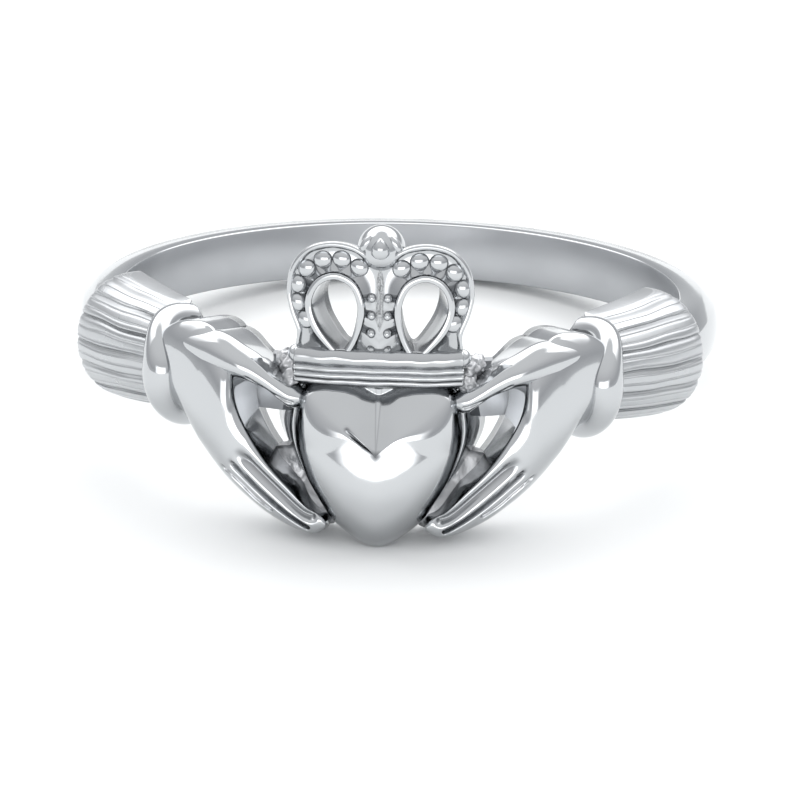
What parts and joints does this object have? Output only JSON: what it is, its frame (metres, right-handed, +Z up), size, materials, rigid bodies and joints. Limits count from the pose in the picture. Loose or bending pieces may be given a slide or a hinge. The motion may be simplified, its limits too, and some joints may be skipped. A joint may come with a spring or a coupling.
{
  "type": "claddagh ring",
  "caption": "Cast finger ring: a crowned heart held between hands with ribbed cuffs, on a plain domed band, shown lying on its side.",
  "frame": {"origin": "middle of the ring's outer box, on the table the ring lies on", "axes": "+Z up, -Y towards the front of the head, +X to the right of a viewer who faces the head. The finger hole's axis leans 10.8 degrees from +Z towards +Y, because the head's tip props the front up."},
  "size_m": [0.0198, 0.0213, 0.0098],
  "materials": {
    "ring": "polished silver, darker in the recesses of the casting"
  },
  "bodies": {
    "root": {"ring": "ring"}
  },
  "joints": []
}
